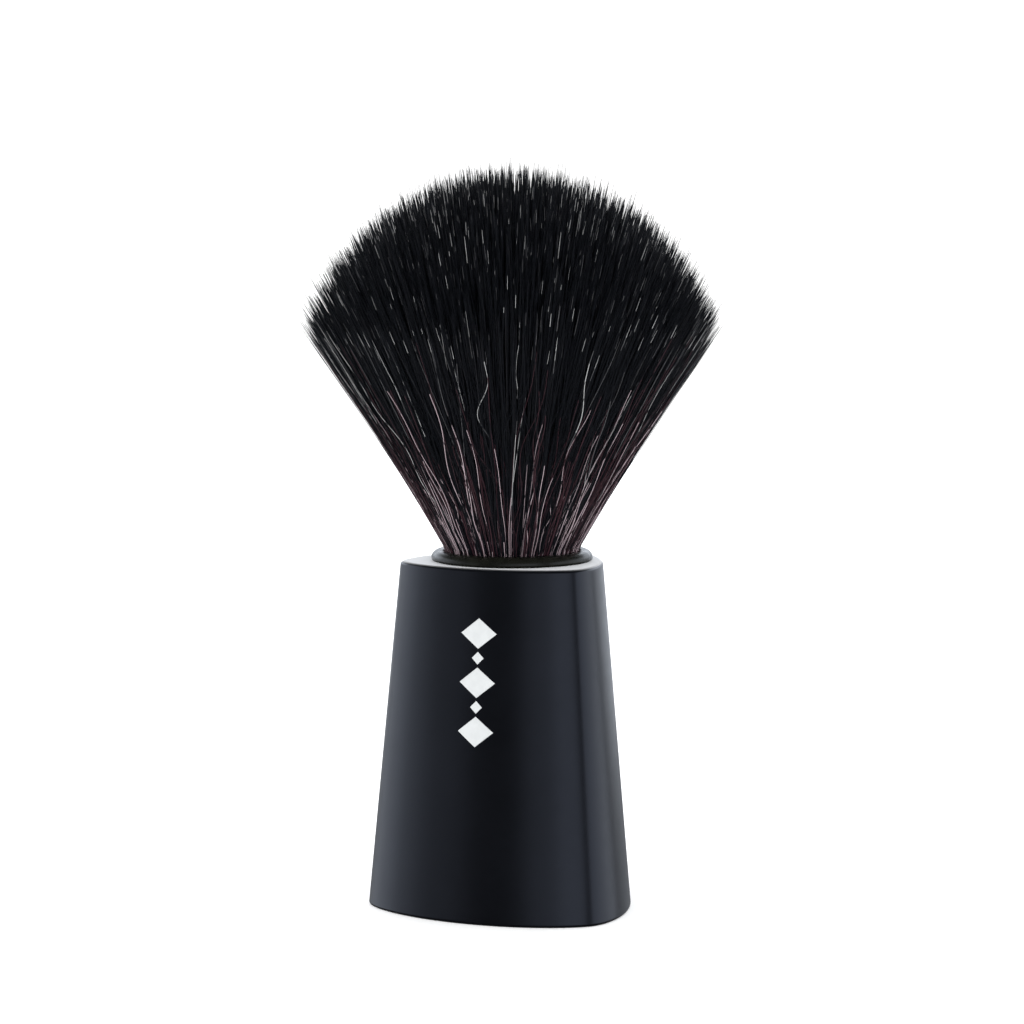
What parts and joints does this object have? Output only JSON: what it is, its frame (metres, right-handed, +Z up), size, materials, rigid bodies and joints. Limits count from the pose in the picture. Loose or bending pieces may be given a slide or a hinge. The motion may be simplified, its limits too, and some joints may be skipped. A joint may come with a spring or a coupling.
{
  "type": "shaving brush",
  "caption": "Shaving brush with a tapered handle of rounded triangular section, a collar ring and a wide fan of dark fibres with a domed end that bends and springs back.",
  "frame": {"origin": "centre of the handle's flat foot, on the axis of the fibre knot", "axes": "+Z runs up the brush to the fibre tips; -Y is the outward direction of the handle face that carries the printed ornament; the handle is mirror-symmetric about the YZ plane, and its third corner points along +Y"},
  "size_m": [0.0603, 0.0602, 0.1059],
  "materials": {
    "handle": "satin black with a cool blue-grey sheen",
    "base_plate": "fine matte texture",
    "ballast": "turned",
    "adhesive": "cured epoxy",
    "ferrule": "moulded",
    "resin": "cast resin",
    "thread": "waxed thread",
    "collar": "glossy olive-black",
    "fibre_root": "synthetic fibre, brown-tinted at the root",
    "fibre": "fine black synthetic fibre",
    "print": "off-white pad print"
  },
  "bodies": {
    "handle": {"handle_shell": "handle", "base_plate": "base_plate", "ballast_slug": "ballast", "socket_adhesive": "adhesive", "ferrule_cup": "ferrule", "resin_plug": "resin", "binding_thread": "thread", "collar_ring": "collar", "fibre_root": "fibre_root", "printed_ornament": "print"},
    "tuft_base": {"tuft_lower": "fibre"},
    "tuft_head": {"tuft_upper": "fibre"}
  },
  "joints": [
    {"name": "tuft_sweep", "type": "hinge", "parent": "handle", "child": "tuft_base", "pos_m": [0, 0, 0.0557], "axis": [0, 1, 0], "range_deg": [-25, 25], "stiffness_Nm_per_rad": 0.15},
    {"name": "tuft_nod", "type": "hinge", "parent": "tuft_base", "child": "tuft_head", "pos_m": [0, 0, 0.0662], "axis": [1, 0, 0], "range_deg": [-25, 25], "stiffness_Nm_per_rad": 0.15}
  ]
}
